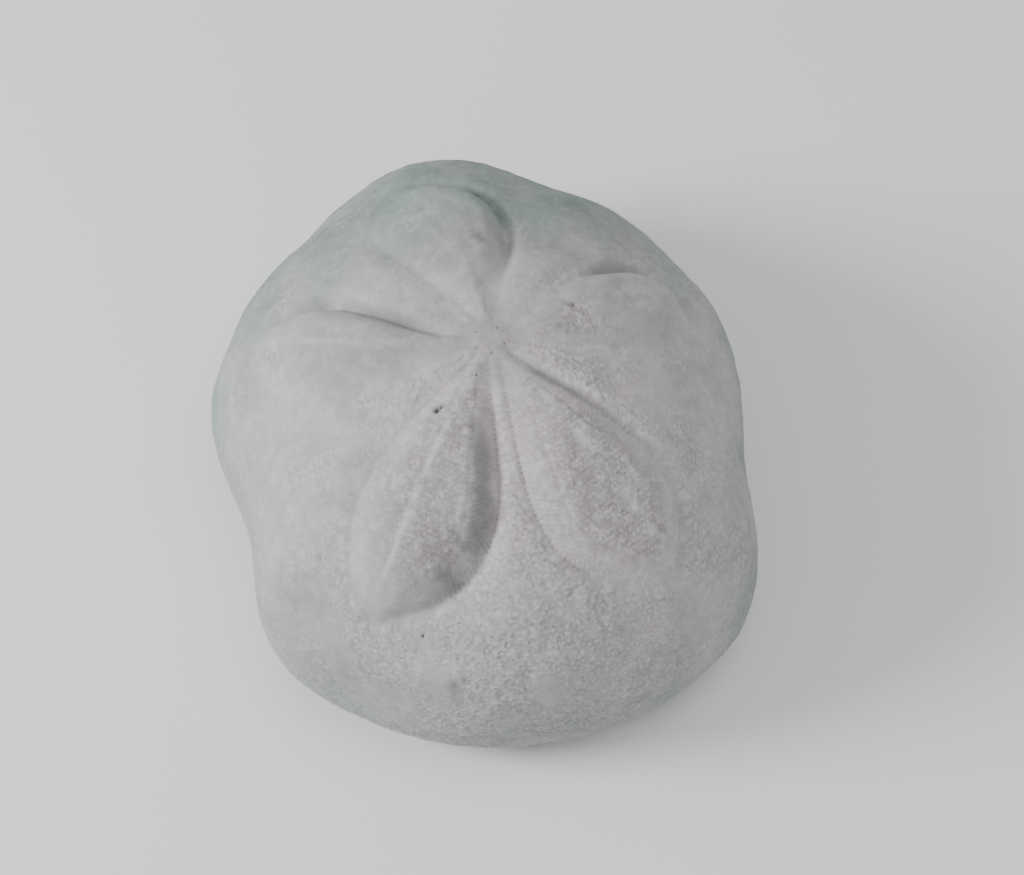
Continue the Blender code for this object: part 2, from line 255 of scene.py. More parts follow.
# small holes in the upper side: place in the plan, radius and depth
HOLES = (
    (-10.1 * MM, -10.7 * MM, 0.42 * MM, 0.6 * MM),
    (-9.3 * MM, -10.3 * MM, 0.28 * MM, 0.3 * MM),
    (-2.7 * MM, -5.3 * MM, 0.22 * MM, 0.3 * MM),
    (-16.7 * MM, -43.9 * MM, 0.22 * MM, 0.3 * MM),
)
# the rings of points of such a hole: radius and depth as shares, and the number of points
HOLE_RINGS = ((0.0, 1.0, 1), (0.75, 0.85, 6), (1.15, 0.1, 9), (1.7, 0.0, 9))
GONOPORE_PLACE = 2.7 * MM       # how far the five pores of the apical plate lie from the apex
GONOPORE_RADIUS = 0.28 * MM
GONOPORE_DEPTH = 0.18 * MM

# a spot of the upper side: its middle in the plan, its reach, then the length and the strength of the
# waves that make its edge uneven
Spot = namedtuple("Spot", "place reach waves unevenness")
FRESH = Spot((3.0 * MM, -30.0 * MM), (34.0 * MM, 34.0 * MM), 12.0 * MM, 0.22)     # the grain is crisp
OPEN = Spot((3.0 * MM, -26.0 * MM), (20.0 * MM, 26.0 * MM), 8.0 * MM, 0.25)       # the pores are open
MAUVE = Spot((3.0 * MM, -20.0 * MM), (30.0 * MM, 36.0 * MM), 14.0 * MM, 0.15)     # it is mauve
MAUVE_IN_PETAL = 1.5            # a petal's own colour follows the mauve, this much more strongly
FRESH_RANGE = (0.1, 0.75)
LEAST_FRESH = 0.15
OPEN_RANGE = (0.15, 0.8)
LEAST_UNFILLED = 0.12
FRESH_SIDES = 0.6               # how crisp the grain is at least on the sides near the ground
SIDES_RANGE = (30.0 * MM, 14.0 * MM)        # heights between which that sets in
# the painted green reflection: where it sets in towards the front, and the slopes on which it does,
# with its share
GREEN_FRONT = (-5.0 * MM, 48.0 * MM)
GREEN_SLOPE = (0.4, 0.95)
GREEN_SLOPE_SHARE = 0.7
GREEN_WAVES = 18.0 * MM
GREEN_UNEVENNESS = 0.25
GREEN_END = (RING_EDGE, RING_EDGE - 0.8)    # it ends on the margin's lower side

# what a point of the fine surface is
TUBERCLE, RIDGE, BAND, HOLE, VALLEY = range(5)
TOP_BRIGHTNESS = (1.0, 0.4, 0.0, 0.0, 0.0)      # of each of these

# colours, as shares of red, green and blue
GREY_PALE = (0.450, 0.452, 0.447)
GREY_MAUVE = (0.590, 0.510, 0.560)
GREY_PETAL = (0.305, 0.266, 0.286)
GREEN_REFLECTION_TINT = (0.600, 0.760, 0.685)      # what the painted green reflection multiplies the colours by
GREY_DUSK = (0.320, 0.315, 0.305)
GREY_BRIGHT = (0.640, 0.630, 0.630)
GRAIN_BRIGHT = (0.700, 0.655, 0.685)
# painted shade in the low places between the tubercles
GREY_VALLEY_SHADE = (0.250, 0.230, 0.235)
# painted shade in the pores, the small holes and the vent
GREY_PORE_SHADE = (0.150, 0.145, 0.140)
SUTURE_WHITE = (0.720, 0.710, 0.705)
# dark specks of dirt, and painted shade in wide patches and on a flank
STAIN_AND_SHADE_DARK = (0.035, 0.035, 0.030)
# painted shade in the furrows and on the shaded flanks
FURROW_SHADE_GREY = (0.120, 0.135, 0.120)
OCHRE = (0.370, 0.320, 0.240)
FLOOR_DIM = (0.88, 0.88, 0.87)
FLOOR_BRIGHT = (0.91, 0.91, 0.90)

# patterns in the chalk: scale, detail and roughness of the noise, and the range of it that shows
PATTERNS = {
    "clouds": (38.0, 4.0, 0.55, 0.36, 0.64),
    "smudges": (75.0, 6.0, 0.7, 0.54, 0.68),
    "patches": (130.0, 5.0, 0.62, 0.44, 0.62),
    "marbling": (420.0, 4.0, 0.62, 0.46, 0.66),
    "grain": (760.0, 3.0, 0.6, 0.5, 0.62),
    "specks": (1100.0, 3.0, 0.6, 0.42, 0.7),
}
# layers of colour over the pale grey, from the lowest up: the pattern or the mask of the mesh that
# each follows, its strength, its colour and the way it mixes
LAYERS = (
    ("mauve", 1.0, GREY_MAUVE, "MIX"),
    ("petal", 0.8, GREY_PETAL, "MIX"),
    ("smudges", 0.30, OCHRE, "MIX"),
    ("clouds", 0.30, GREY_DUSK, "MIX"),
    ("patches", 0.42, GREY_DUSK, "MIX"),
    ("marbling", 0.30, GREY_BRIGHT, "MIX"),
    ("specks", 0.25, GREY_DUSK, "MIX"),
    # painted green reflection
    ("green_reflection", 1.0, GREEN_REFLECTION_TINT, "MULTIPLY"),
    ("grain", 0.35, GRAIN_BRIGHT, "MIX"),
    ("tops", 0.45, GRAIN_BRIGHT, "MIX"),
    # painted shade between the tubercles
    ("valley_shade", 0.32, GREY_VALLEY_SHADE, "MIX"),
    ("suture", 0.60, SUTURE_WHITE, "MIX"),
    # painted shade in the pores, the small holes and the vent
    ("pore_shade", 0.45, GREY_PORE_SHADE, "MIX"),
    # painted shade in the furrows and painted shadow on the shaded flanks
    ("furrow_shade", 1.0, FURROW_SHADE_GREY, "MIX"),
    # specks of dirt, and painted shade in wide patches and on a flank
    ("stain_and_shade", 1.0, STAIN_AND_SHADE_DARK, "MIX"),
)
CHALK_ROUGHNESS = (0.82, 0.96)  # between the patches, and on them
CHALK_SPECULAR = 0.25
POWDER_SCALE = 2600.0           # the finest grain, which is only a bump
POWDER_STRENGTH = 0.35
POWDER_HEIGHT = 0.12 * MM

# floor, light and camera
FLOOR_SIZE = 6.0
FLOOR_ROUGHNESS = 0.9
# the round soft lamps: name, place, width and power
LAMPS = (
    ("key", (-0.68, 0.0, 0.40), 0.30, 6.2),
    ("fill", (0.20, -0.05, 0.90), 0.60, 2.0),
)
LAMP_AIM_HEIGHT = 0.03
WORLD_COLOUR = (0.98, 0.99, 1.0)
WORLD_STRENGTH = 0.56
SENSOR = 36.0
IMAGE_WIDTH = 1024
IMAGE_HEIGHT = 875
FOCAL_PIXELS = 2204.0
AIM_PIXEL = (488.7, 440.3)      # where the aim point lies in the photograph
CAMERA_BEARING = np.radians(-7.5)
CAMERA_HEIGHT_ANGLE = np.radians(61.0)
CAMERA_DISTANCE = 0.4
CAMERA_AIM = (1.1 * MM, -2.2 * MM, 21.4 * MM)


def smooth_step(low, high, value):
    """A share that runs smoothly from 0 at low to 1 at high."""
    share = np.clip((value - low) / (high - low), 0, 1)
    return share * share * (3 - 2 * share)


def margin_reach(bearing):
    """Distance from the middle to the widest line, for bearings in radians."""
    lobes = list(LOBES.values())
    first = lobes[0][0]
    turns = []
    reaches = []
    for (angle, reach, hollow), (following, _, _) in zip(lobes, lobes[1:] + lobes[:1]):
        half_gap = ((following - angle) % 360) / 2
        turns += [angle - first, angle - first + half_gap]
        reaches += [reach, hollow]
    turns.append(360.0)
    reaches = np.array(reaches + reaches[:2])
    place = np.interp((np.degrees(bearing) - first) % 360, turns, np.arange(len(turns)))
    start = np.floor(place).astype(int)
    ease = (1 - np.cos(np.pi * (place - start))) / 2
    return reaches[start] + (reaches[start + 1] - reaches[start]) * ease


def petal_half_width(along):
    """Half width of a petal, as a share of its widest, at a share of its length."""
    power = np.log(0.5) / np.log(PETAL_WIDEST)
    return np.sin(np.pi * np.clip(along, 0, 1) ** power) ** PETAL_FULLNESS


def in_petal(x, y, petal):
    """Depth inside a petal's outline (below 0 outside), then the place along and across it."""
    distance = np.hypot(x - APEX[0], y - APEX[1])
    axis = np.radians(petal.axis + petal.bend * distance / petal.length)
    aside = np.arctan2(y - APEX[1], x - APEX[0]) - axis
    along = distance * np.cos(aside)
    side = distance * np.sin(aside)
    half_width = np.where(side < 0, petal.clockwise.half_width, petal.other.half_width)
    steps = np.linspace(0, 1, OUTLINE_POINTS)
    nearest = np.full(x.shape, np.inf)
    for width in (-petal.clockwise.half_width, petal.other.half_width):
        edge = np.stack([steps * petal.length, petal_half_width(steps) * width], axis=-1)
        for start, end in zip(edge[:-1], edge[1:]):
            run = end - start
            share = ((along - start[0]) * run[0] + (side - start[1]) * run[1]) / (run @ run)
            share = np.clip(share, 0, 1)
            gap = np.hypot(along - start[0] - share * run[0], side - start[1] - share * run[1])
            nearest = np.minimum(nearest, gap)
    inside = np.abs(side) < petal_half_width(along / petal.length) * half_width
    depth = np.where(inside, nearest, -nearest)
    return depth, np.clip(along / petal.length, 0, 1), side / half_width


def stretch(start, end, along):
    """A share that is 1 between two places along a petal and dies away beyond them."""
    return (smooth_step(start, start + FURROW_RAMP, along)
            * smooth_step(end, end - FURROW_RAMP, along))


def relief(x, y):
    """How far the upper side stands out from the plain dome, over each point of the plan."""
    height = np.zeros(x.shape)
    for petal in PETALS.values():
        depth, along, across = in_petal(x, y, petal)
        blend = smooth_step(-SIDE_BLEND, SIDE_BLEND, across)
        side = Side(*(low + (high - low) * blend for low, high in zip(petal.clockwise, petal.other)))
        room = petal_half_width(np.minimum(along, PETAL_WIDEST)) * side.half_width
        flank = np.clip(room, LEAST_FLANK, side.flank)
        swollen = smooth_step(petal.full_rise - RISE_RAMP, petal.full_rise, along)
        height += PETAL_RISE * swollen * smooth_step(0, flank, depth)
        fade = stretch(side.start, side.end, along)
        height -= side.furrow * np.exp(-(depth / FURROW_WIDTH) ** 2) * fade
        height += BRIM_RISE * np.exp(-((depth + BRIM_PLACE) / BRIM_WIDTH) ** 2) * fade
    for bearing, distance, radius, rise in SWELLINGS:
        centre_x = APEX[0] + distance * np.cos(np.radians(bearing))
        centre_y = APEX[1] + distance * np.sin(np.radians(bearing))
        height += rise * np.exp(-((x - centre_x) ** 2 + (y - centre_y) ** 2) / radius ** 2)
    from_apex = np.hypot(x - APEX[0], y - APEX[1])
    height += PLATE_RISE * np.exp(-(from_apex / PLATE_RADIUS) ** 4)
    return height


def plain_form(bearing, travel):
    """The surface without relief, from the apex over the margin and up the hollow to the mouth."""
    reach = margin_reach(bearing)
    turn = np.clip(travel, 0, RING_EDGE)
    upper = turn <= WIDEST
    upper_share = np.sin(np.minimum(turn, WIDEST)) ** (2 / SHOULDER)
    lower_share = RING_OUTER + (1 - RING_OUTER) * np.sin(np.maximum(turn, WIDEST))
    radius = reach * np.where(upper, upper_share, lower_share)
    lean = np.where(upper, 1 - upper_share, 0.0)
    dome = np.cos(np.minimum(turn, WIDEST)) ** (2 / SHOULDER)
    upper_z = MARGIN_HEIGHT + (HEIGHT - MARGIN_HEIGHT) * dome
    lower_z = MARGIN_HEIGHT * (1 + np.cos(np.maximum(turn, WIDEST)))
    z = np.where(upper, upper_z, lower_z)
    ring = np.clip((travel - RING_EDGE) / (HOLLOW_EDGE - RING_EDGE), 0, 1)
    radius = np.where(travel > RING_EDGE, reach * (RING_OUTER + (RING_INNER - RING_OUTER) * ring),
                      radius)
    inward = np.clip((travel - HOLLOW_EDGE) / (MOUTH_EDGE - HOLLOW_EDGE), 0, 1)
    hollow_radius = reach * RING_INNER + (MOUTH_RADIUS - reach * RING_INNER) * inward
    radius = np.where(travel > HOLLOW_EDGE, hollow_radius, radius)
    z = np.where(travel > HOLLOW_EDGE, HOLLOW_DEPTH * inward ** HOLLOW_POWER, z)
    pit = np.clip((travel - MOUTH_EDGE) / (PIT_END - MOUTH_EDGE), 0, 1)
    steps = np.linspace(0, 1, len(MOUTH_PROFILE))
    deep, wide = np.array(MOUTH_PROFILE).T
    radius = np.where(travel > MOUTH_EDGE, MOUTH_RADIUS * np.interp(pit, steps, wide), radius)
    z = np.where(travel > MOUTH_EDGE, HOLLOW_DEPTH + MOUTH_DEPTH * np.interp(pit, steps, deep), z)
    x = radius * np.cos(bearing) + APEX[0] * lean
    y = radius * np.sin(bearing) + APEX[1] * lean
    return np.stack([x, y, z], axis=-1)


def outward(form, bearing, travel):
    """Unit normals of a form, from its slope to each side of the points."""
    step = 2e-4
    around = form(bearing + step, travel) - form(bearing - step, travel)
    down = form(bearing, travel + step) - form(bearing, np.maximum(travel - step, step / 2))
    normal = np.cross(down, around)
    length = np.linalg.norm(normal, axis=-1, keepdims=True)
    return normal / np.maximum(length, 1e-12)


def food_grooves(points, travel):
    """Depth of the five straight grooves that run from the mouth out under the petals."""
    x, y = points[:, 0], points[:, 1]
    depth = np.zeros(x.shape)
    for petal in PETALS.values():
        direction = np.radians(petal.axis)
        across = -x * np.sin(direction) + y * np.cos(direction)
        ahead = x * np.cos(direction) + y * np.sin(direction) > 0
        depth = np.maximum(depth, ahead * np.exp(-(across / GROOVE_WIDTH) ** 2))
    share = (MOUTH_EDGE - travel) / (MOUTH_EDGE - HOLLOW_EDGE)
    return GROOVE_DEPTH * depth * smooth_step(0.0, GROOVE_FADE, 1 - share) * (travel < MOUTH_EDGE)


def form(bearing, travel):
    """The whole smooth surface, with its petals, furrows, swellings and food grooves."""
    points = plain_form(bearing, travel)
    upper = travel < WIDEST
    lift = np.zeros(travel.shape)
    lift[upper] = relief(points[upper, 0], points[upper, 1])
    points = points + outward(plain_form, bearing, travel) * lift[:, None]
    lower = travel > HOLLOW_EDGE
    points[lower, 2] += food_grooves(points[lower], travel[lower])
    return points


def meridian_table():
    """Mean meridian: travel, radius, length run, and the logarithm of the flat map's radius."""
    travel = np.concatenate([np.linspace(MERIDIAN_START, RING_EDGE, UPPER_STEPS),
                             np.linspace(RING_EDGE, PIT_END, LOWER_STEPS)[1:]])
    bearing = np.linspace(0, 2 * np.pi, MEAN_OVER, endpoint=False)
    radius = np.zeros(travel.shape)
    height = np.zeros(travel.shape)
    for angle in bearing:
        points = plain_form(np.full(travel.shape, angle), travel)
        radius += np.hypot(points[:, 0], points[:, 1]) / len(bearing)
        height += points[:, 2] / len(bearing)
    radius = np.maximum(radius, LEAST_RADIUS)
    step = np.hypot(np.diff(radius), np.diff(height))
    middle = (radius[1:] + radius[:-1]) / 2
    run = np.concatenate([[0], np.cumsum(step)])
    flat = np.concatenate([[0], np.cumsum(step / middle)])
    return travel, radius, run, flat


TRAVEL, RADIUS, RUN, FLAT = meridian_table()


def tubercle_sites(random):
    """Bearing and travel of each tubercle: a spiral that keeps them evenly spread, then scattered."""
    pitch = np.where(TRAVEL < UNDERSIDE, TUBERCLE_PITCH, LOWER_PITCH)
    cell = pitch ** 2 * np.sqrt(3) / 2
    middle = (RADIUS[1:] / cell[1:] + RADIUS[:-1] / cell[:-1]) / 2
    count = np.concatenate([[0], np.cumsum(2 * np.pi * middle * np.diff(RUN))])
    total = int(count[-1])
    place = np.arange(total) + 0.5
    travel = np.interp(place, count, TRAVEL)
    bearing = place * GOLDEN_TURN
    here = np.where(travel < UNDERSIDE, TUBERCLE_PITCH, LOWER_PITCH)
    run = np.interp(travel, TRAVEL, RUN) + random.normal(0, SCATTER, total) * here
    travel = np.interp(run, RUN, TRAVEL)
    bearing += random.normal(0, SCATTER, total) * here / np.interp(travel, TRAVEL, RADIUS)
    return bearing % (2 * np.pi), travel


def from_plan(x, y):
    """Bearing and travel of the points of the upper side that lie over a place in the plan.

    The dome leans to the apex, by more the higher a point lies, so its share of the reach is found
    in rounds.
    """
    share = np.full(x.shape, 0.5)
    for _ in range(30):
        from_x = x - APEX[0] * (1 - share)
        from_y = y - APEX[1] * (1 - share)
        bearing = np.arctan2(from_y, from_x)
        share = np.clip(np.hypot(from_x, from_y) / margin_reach(bearing), 0, 0.999)
    return bearing % (2 * np.pi), np.arcsin(share ** (SHOULDER / 2))


def spaced(points, count):
    """Evenly spaced points along a line of points."""
    run = np.concatenate([[0], np.cumsum(np.hypot(*np.diff(points, axis=0).T))])
    at = np.linspace(0, run[-1], count)
    return np.stack([np.interp(at, run, points[:, 0]), np.interp(at, run, points[:, 1])], axis=-1)


def band_edges(length, half_width):
    """The outer and the inner line of pores of one side of a petal, along and across its axis."""
    steps = np.linspace(*BAND_REACH, BAND_POINTS)
    outer = np.stack([steps * length, petal_half_width(steps) * half_width], axis=-1)
    band = PORE_BAND * smooth_step(*BAND_OPENING, steps) * smooth_step(*BAND_CLOSING, steps)
    slope = np.gradient(outer, axis=0)
    slope /= np.linalg.norm(slope, axis=1, keepdims=True)
    inner = outer + np.stack([slope[:, 1], -slope[:, 0]], axis=-1) * band[:, None]
    return outer, inner[inner[:, 1] > MIDDLE_SPARE]


def on_petal(petal, ahead, across):
    """The place in the plan so far ahead along a petal's axis and so far across it."""
    distance = np.hypot(ahead, across)
    turn = np.radians(petal.axis + petal.bend * distance / petal.length) + np.arctan2(across, ahead)
    return APEX[0] + distance * np.cos(turn), APEX[1] + distance * np.sin(turn)


def band_steps(width):
    """Places across a band of pores, from just outside its outer line to just past its inner one."""
    between = max(int((width - 2 * PORE_LIP) / SLIT_STEP), 1)
    steps = [-PORE_LIP, 0.0, PORE_LIP]
    steps += list(np.linspace(PORE_LIP, width - PORE_LIP, between + 1)[1:-1])
    return steps + [width - PORE_LIP, width, width + PORE_LIP]


def slit_depth(step, width):
    """How far a slit is sunk at a place across the band: it has a pore at each end."""
    if step == 0.0:
        return PORE_DEPTH
    if step == width:
        return INNER_PORE_DEPTH
    return SLIT_DEPTH if 0 < step < width else 0.0


def pore_bands():
    """Points of the bands of pores, in the plan: slits and the ridges between them, by turns.

    Gives how far each is sunk too, and whether it is a tubercle on a ridge.
    """
    plan = []
    sunk = []
    ridge = []
    for petal in PETALS.values():
        for way, side in ((-1, petal.clockwise), (1, petal.other)):
            outer, inner = band_edges(petal.length, side.half_width)
            total = np.hypot(*np.diff(outer, axis=0).T).sum()
            count = 2 * int(total / PORE_PITCH) + 1
            for i, (start, end) in enumerate(zip(spaced(outer, count), spaced(inner, count))):
                width = np.hypot(*(end - start))
                slit = i % 2 == 1
                for step in band_steps(width):
                    ahead, across = start + (end - start) * step / width
                    plan.append(on_petal(petal, ahead, way * across))
                    sunk.append(slit_depth(step, width) if slit else 0.0)
                    ridge.append(not slit and 0 < step < width)
    return np.array(plan), np.array(sunk), np.array(ridge)


def in_petals(x, y):
    """Whether each place in the plan lies in a petal or too near to one for a tubercle."""
    found = np.zeros(x.shape, bool)
    for petal in PETALS.values():
        depth, along, _ = in_petal(x, y, petal)
        found |= (depth > -PORE_LIP - PETAL_SPARE) & (along > BAND_START)
    return found


def tubercle_rows(random):
    """Tubercles in rows across the middle of each petal, in the plan."""
    plan = []
    for petal in PETALS.values():
        low, high = [band_edges(petal.length, side.half_width)[1]
                     for side in (petal.clockwise, petal.other)]
        along = max(low[0, 0], high[0, 0])
        row = 0
        while along < min(low[:, 0].max(), high[:, 0].max()):
            ends = [np.interp(along, edge[:, 0], edge[:, 1]) - ROW_SPARE * ROW_SPACING
                    for edge in (low[np.argsort(low[:, 0])], high[np.argsort(high[:, 0])])]
            places = np.arange(-int(ends[0] / ROW_SPACING), int(ends[1] / ROW_SPACING) + 1)
            for place in places + ROW_STAGGER * (-1) ** row:
                across = (place + random.normal(0, SCATTER)) * ROW_SPACING
                ahead = along + random.normal(0, ROW_SCATTER) * ROW_PITCH
                plan.append(on_petal(petal, ahead, across))
            along += ROW_PITCH
            row += 1
    return np.array(plan)


def hole_list():
    """All the small holes of the upper side, with the pores of the apical plate."""
    holes = list(HOLES)
    axes = sorted(petal.axis for petal in PETALS.values())
    for axis, following in zip(axes, axes[1:] + axes[:1]):
        between = np.radians(axis + ((following - axis) % 360) / 2)
        holes.append((APEX[0] + GONOPORE_PLACE * np.cos(between),
                      APEX[1] + GONOPORE_PLACE * np.sin(between), GONOPORE_RADIUS, GONOPORE_DEPTH))
    return holes


def hole_points():
    """Rings of points round each small hole, in the plan, with how far each is sunk."""
    plan = []
    sunk = []
    for x, y, radius, depth in hole_list():
        for ring, share, count in HOLE_RINGS:
            for angle in np.arange(count) * 2 * np.pi / count:
                plan.append((x + ring * radius * np.cos(angle), y + ring * radius * np.sin(angle)))
                sunk.append(depth * share)
    return np.array(plan), np.array(sunk)


def near_holes(x, y):
    """Whether each place in the plan is too near to a small hole for a point of its own."""
    found = np.zeros(x.shape, bool)
    for hole_x, hole_y, radius, _ in hole_list():
        found |= np.hypot(x - hole_x, y - hole_y) < HOLE_RINGS[-1][0] * radius + HOLE_SPARE
    return found


def vent_scale():
    """Lengths on the surface at the vent: for each radian of bearing, and for each of travel."""
    per_bearing = float(np.interp(VENT_TURN, TRAVEL, RADIUS))
    per_travel = float(np.gradient(RUN, TRAVEL)[np.searchsorted(TRAVEL, VENT_TURN)])
    return per_bearing, per_travel


def vent_points():
    """Rings of points round the vent, with how far each is sunk."""
    per_bearing, per_travel = vent_scale()
    bearing = []
    travel = []
    sunk = []
    for ring, depth, count in VENT_RINGS:
        for angle in np.linspace(0, 2 * np.pi, count, endpoint=False):
            bearing.append(VENT_BEARING + ring * VENT_RADIUS * np.cos(angle) / per_bearing)
            travel.append(VENT_TURN + ring * VENT_RADIUS * np.sin(angle) / per_travel)
            sunk.append(depth * VENT_DEPTH)
    return np.array(bearing), np.array(travel), np.array(sunk)


def near_vent(bearing, travel):
    """Whether each point is too near to the vent for a tubercle."""
    per_bearing, per_travel = vent_scale()
    gap = np.hypot((bearing - VENT_BEARING) * per_bearing, (travel - VENT_TURN) * per_travel)
    return gap < VENT_CLEARANCE * VENT_RADIUS


def flat_map(bearing, travel):
    """The surface opened out on a plane so that small shapes keep their proportions."""
    radius = np.exp(np.interp(travel, TRAVEL, FLAT))
    return np.stack([radius * np.cos(bearing), radius * np.sin(bearing)], axis=-1)


def triangles(bearing, travel):
    """Triangles between the points, by Delaunay on the flat map."""
    flat = flat_map(bearing, travel)
    found = delaunay_2d_cdt([Vector(place) for place in flat], [], [], 0, 1e-9)
    corners = np.array(found[2])
    # the call may reorder its points: each of its own came from one or more of ours
    source = np.array([ours[0] for ours in found[3]])
    return source[corners]


def noise(points, scale, random, waves=10):
    """Smooth uneven noise, from -1 to 1 or so, by adding waves in random directions."""
    total = np.zeros(len(points))
    for _ in range(waves):
        direction = random.normal(0, 1, 3)
        direction /= np.linalg.norm(direction)
        length = scale * random.uniform(0.6, 1.6)
        phase = random.uniform(0, 2 * np.pi)
        total += np.sin(points @ direction * 2 * np.pi / length + phase)
    return total / np.sqrt(waves)


def spot_share(points, spot, random):
    """A share that is about 1 in the middle of a spot and falls away unevenly round it."""
    gap_x = (points[:, 0] - spot.place[0]) / spot.reach[0]
    gap_y = (points[:, 1] - spot.place[1]) / spot.reach[1]
    return np.exp(-gap_x ** 2 - gap_y ** 2) + spot.unevenness * noise(points, spot.waves, random)


def lay_out(random):
    """Bearing, travel, kind and depth of the tubercles, pores, small holes and the vent."""
    bearing, travel = tubercle_sites(random)
    upper = travel < WIDEST
    place = plain_form(bearing, travel)
    clash = near_vent(bearing, travel)
    clash[upper] |= in_petals(place[upper, 0], place[upper, 1])
    clash[upper] |= near_holes(place[upper, 0], place[upper, 1])
    bearing, travel = bearing[~clash], travel[~clash]
    rows = tubercle_rows(random)
    rows = rows[~near_holes(rows[:, 0], rows[:, 1])]
    bands, band_sunk, ridge = pore_bands()
    free = ~near_holes(bands[:, 0], bands[:, 1])
    holes, hole_sunk = hole_points()
    plan = np.concatenate([rows, bands[free], holes])
    plan_bearing, plan_travel = from_plan(plan[:, 0], plan[:, 1])
    vent_bearing, vent_travel, vent_sunk = vent_points()
    tubercles = len(bearing) + len(rows)
    kinds = np.concatenate([np.full(tubercles, TUBERCLE), np.where(ridge[free], RIDGE, BAND),
                            np.full(len(holes) + len(vent_sunk), HOLE)])
    sunk = np.concatenate([np.zeros(tubercles), band_sunk[free], hole_sunk, vent_sunk])
    bearing = np.concatenate([bearing, plan_bearing, vent_bearing])
    travel = np.concatenate([travel, plan_travel, vent_travel])
    return bearing, travel, kinds, sunk


def add_valleys(bearing, travel, kinds, sunk):
    """Adds a valley point in the middle of each triangle of tubercles."""
    faces = triangles(bearing, travel)
    tubercles_only = (kinds[faces] == TUBERCLE).all(axis=1)
    middles = flat_map(bearing, travel)[faces[tubercles_only]].mean(axis=1)
    valley_bearing = np.arctan2(middles[:, 1], middles[:, 0]) % (2 * np.pi)
    valley_travel = np.interp(np.log(np.hypot(*middles.T)), FLAT, TRAVEL)
    return (np.concatenate([bearing, valley_bearing]), np.concatenate([travel, valley_travel]),
            np.concatenate([kinds, np.full(len(middles), VALLEY)]),
            np.concatenate([sunk, np.zeros(len(middles))]))


def make_surface():
    """The fine surface, with what its material needs to know at each point."""
    random = np.random.default_rng(SEED)
    bearing, travel, kinds, sunk = add_valleys(*lay_out(random))
    faces = triangles(bearing, travel)
    points = form(bearing, travel)
    normals = outward(form, bearing, travel)

    # the rear keeps its grain, and the left and the front are rubbed smooth
    fresh = smooth_step(*FRESH_RANGE, spot_share(points, FRESH, random))
    fresh = LEAST_FRESH + (1 - LEAST_FRESH) * fresh
    # the sides near the ground keep it too
    fresh = np.maximum(fresh, FRESH_SIDES * smooth_step(*SIDES_RANGE, points[:, 2]))
    # old pores are partly filled with sediment, least of all at the rear
    unfilled = smooth_step(*OPEN_RANGE, spot_share(points, OPEN, random))
    unfilled = LEAST_UNFILLED + (1 - LEAST_UNFILLED) * unfilled
    uneven = sum(noise(points, waves, random) * height for waves, height in UNEVENNESS)
    # some tubercles stand high over deep valleys, and others run together, most of all in the petals
    inside, suture, furrow_shade = petal_marks(points, travel < WIDEST)
    vigour = random.uniform(0, MOST_VIGOUR, len(points)) * (1 - PETAL_CALM * inside)
    openness = unfilled * random.uniform(LEAST_OPEN, 1, len(points))
    sunk = np.where(kinds == BAND, sunk * openness, sunk)

    rise = np.where(travel > UNDERSIDE, LOWER_RISE, TUBERCLE_RISE * fresh)
    rise = rise * (EVEN_RISE + VARIED_RISE * vigour)
    lift = np.where(kinds == TUBERCLE, rise, 0.0) + np.where(kinds == RIDGE, rise * RIDGE_RISE, 0.0)
    lift -= sunk
    lift -= np.where(kinds == VALLEY, VALLEY_DEPTH * fresh * (vigour - VALLEY_LEVEL), 0.0)
    lift += uneven * (travel < SMOOTH_BASE)
    on_ring = (travel > RING_EDGE - RING_SPARE) & (travel < HOLLOW_EDGE + RING_SPARE)
    points = points + normals * (lift * ~on_ring)[:, None]
    points[:, 2] = np.maximum(points[:, 2], 0.0)

    slope = 1 - outward(plain_form, bearing, travel)[:, 2]
    masks = chalk_masks(points, slope, travel, random)
    masks |= petal_masks(points, masks["mauve"], inside, suture, furrow_shade, random)
    masks |= grain_masks(kinds, sunk, fresh, vigour, travel < WIDEST)
    points, faces = close_pit(points, faces)
    return points, faces, {name: np.append(mask, mask[-1]) for name, mask in masks.items()}


def close_pit(points, faces):
    """Closes the small hole that the flat map leaves at the top of the mouth's pit."""
    sides = np.concatenate([faces[:, [0, 1]], faces[:, [1, 2]], faces[:, [2, 0]]])
    known = {tuple(side) for side in sides}
    rim = [side for side in sides if (side[1], side[0]) not in known]
    top = np.array([[0.0, 0.0, HOLLOW_DEPTH + MOUTH_DEPTH]])
    fan = np.array([(end, start, len(points)) for start, end in rim])
    return np.concatenate([points, top]), np.concatenate([faces, fan])


def petal_marks(points, upper):
    """Shares from 0 to 1 at each point: how far inside a petal, on its middle line, and how strongly
    painted shade darkens its furrows and shaded flanks.
    """
    inside = np.zeros(len(points))
    suture = np.zeros(len(points))
    furrow_shade = np.zeros(len(points))
    x, y = points[upper, 0], points[upper, 1]
    for name, petal in PETALS.items():
        depth, along, across = in_petal(x, y, petal)
        inside[upper] = np.maximum(inside[upper], smooth_step(*PETAL_EDGE, depth))
        line = np.exp(-(across * petal.other.half_width / SUTURE_WIDTH) ** 2)
        line *= SUTURES[name] * smooth_step(*SUTURE_START, along) * smooth_step(*SUTURE_END, along)
        suture[upper] = np.maximum(suture[upper], line)
        # painted shade in the furrows and painted shadow on the shaded flanks
        for shaded_petal, way, start, end, inward, width, strength in FURROW_SHADE:
            if shaded_petal == name:
                line = np.exp(-((depth - inward) / width) ** 2) * stretch(start, end, along)
                line *= strength * smooth_step(-SIDE_BLEND, SIDE_BLEND, across * way)
                furrow_shade[upper] = np.maximum(furrow_shade[upper], line)
    return inside, suture, furrow_shade


def broken(points, breaks, random):
    """A share that breaks up a line or a layer of painted shade."""
    waves, low, high = breaks
    return smooth_step(low, high, noise(points, waves, random))


